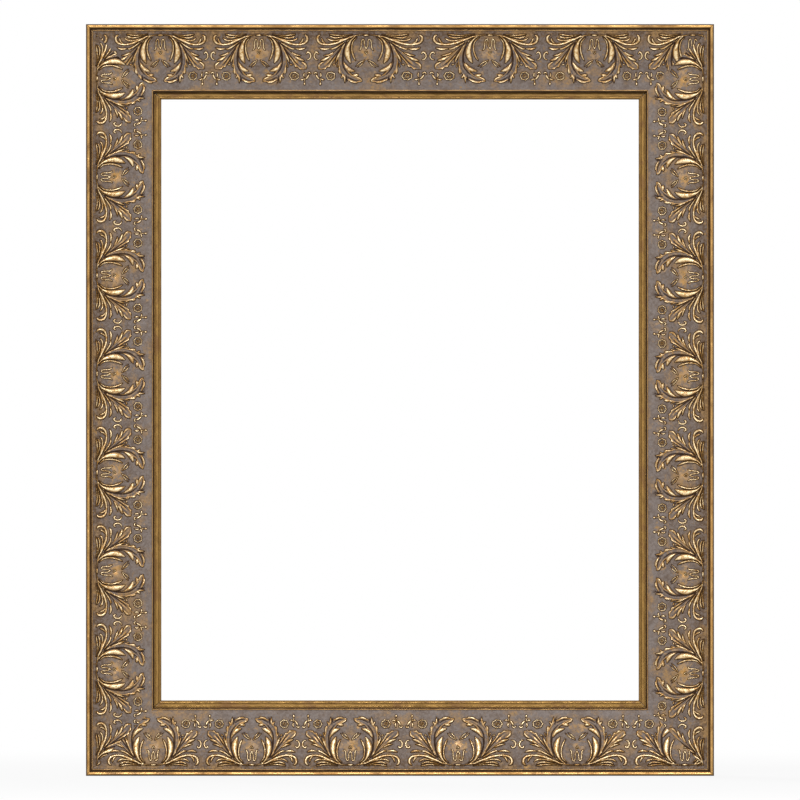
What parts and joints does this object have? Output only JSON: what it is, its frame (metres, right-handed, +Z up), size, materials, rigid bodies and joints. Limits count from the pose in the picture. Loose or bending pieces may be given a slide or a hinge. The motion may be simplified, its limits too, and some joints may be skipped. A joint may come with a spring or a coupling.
{
  "type": "picture frame",
  "caption": "Gilded wooden picture frame with a raked panel of pressed acanthus ornament, a beaded outer edge, a gold inner slip, turn buttons and strap hangers on the back.",
  "frame": {"origin": "middle of the frame's width, height and whole depth, bumpers included", "axes": "+X to the right and +Z up seen from the front, +Y towards the wall"},
  "size_m": [0.518, 0.045, 0.62],
  "materials": {
    "gilt_wood": "worn gold over umber, bare pine back",
    "gilt_ornament": "pressed composition, gilt on the high edges, taupe wash in the ground",
    "gilt_slip": "streaked satin gold",
    "brass": "satin, dulled",
    "steel": "zinc plated",
    "rubber": "matt"
  },
  "bodies": {
    "frame": {"rail_bottom": "gilt_wood", "rail_right": "gilt_wood", "rail_top": "gilt_wood", "rail_left": "gilt_wood", "ornament_bottom": "gilt_ornament", "ornament_right": "gilt_ornament", "ornament_top": "gilt_ornament", "ornament_left": "gilt_ornament", "slip_bottom": "gilt_slip", "slip_right": "gilt_slip", "slip_top": "gilt_slip", "slip_left": "gilt_slip", "corner_nails_bottom_left": "steel", "corner_nails_bottom_right": "steel", "corner_nails_top_right": "steel", "corner_nails_top_left": "steel", "turn_button_screws": "steel", "hanger_strap_left": "steel", "hanger_strap_right": "steel", "hanger_screws": "steel", "bumper_left": "rubber", "bumper_right": "rubber"},
    "turn_button_bottom_left": {"turn_button_bottom_left": "brass"},
    "turn_button_bottom_right": {"turn_button_bottom_right": "brass"},
    "turn_button_right_lower": {"turn_button_right_lower": "brass"},
    "turn_button_right_upper": {"turn_button_right_upper": "brass"},
    "turn_button_top_right": {"turn_button_top_right": "brass"},
    "turn_button_top_left": {"turn_button_top_left": "brass"},
    "turn_button_left_upper": {"turn_button_left_upper": "brass"},
    "turn_button_left_lower": {"turn_button_left_lower": "brass"},
    "hanger_ring_left": {"hanger_ring_left": "steel"},
    "hanger_ring_right": {"hanger_ring_right": "steel"}
  },
  "joints": [
    {"name": "turn_button_bottom_left_swivel", "type": "hinge", "parent": "frame", "child": "turn_button_bottom_left", "pos_m": [-0.12, 0.0175, -0.2655], "axis": [0, 1, 0], "continuous": true},
    {"name": "turn_button_bottom_right_swivel", "type": "hinge", "parent": "frame", "child": "turn_button_bottom_right", "pos_m": [0.12, 0.0175, -0.2655], "axis": [0, 1, 0], "continuous": true},
    {"name": "turn_button_right_lower_swivel", "type": "hinge", "parent": "frame", "child": "turn_button_right_lower", "pos_m": [0.2145, 0.0175, -0.19], "axis": [0, 1, 0], "continuous": true},
    {"name": "turn_button_right_upper_swivel", "type": "hinge", "parent": "frame", "child": "turn_button_right_upper", "pos_m": [0.2145, 0.0175, 0.19], "axis": [0, 1, 0], "continuous": true},
    {"name": "turn_button_top_right_swivel", "type": "hinge", "parent": "frame", "child": "turn_button_top_right", "pos_m": [0.12, 0.0175, 0.2655], "axis": [0, 1, 0], "continuous": true},
    {"name": "turn_button_top_left_swivel", "type": "hinge", "parent": "frame", "child": "turn_button_top_left", "pos_m": [-0.12, 0.0175, 0.2655], "axis": [0, 1, 0], "continuous": true},
    {"name": "turn_button_left_upper_swivel", "type": "hinge", "parent": "frame", "child": "turn_button_left_upper", "pos_m": [-0.2145, 0.0175, 0.19], "axis": [0, 1, 0], "continuous": true},
    {"name": "turn_button_left_lower_swivel", "type": "hinge", "parent": "frame", "child": "turn_button_left_lower", "pos_m": [-0.2145, 0.0175, -0.19], "axis": [0, 1, 0], "continuous": true},
    {"name": "hanger_ring_left_swing", "type": "hinge", "parent": "frame", "child": "hanger_ring_left", "pos_m": [-0.223, 0.01985, 0.135], "axis": [0, 0, 1], "range_deg": [0, 165]},
    {"name": "hanger_ring_right_swing", "type": "hinge", "parent": "frame", "child": "hanger_ring_right", "pos_m": [0.223, 0.01985, 0.135], "axis": [0, 0, -1], "range_deg": [0, 165]}
  ]
}
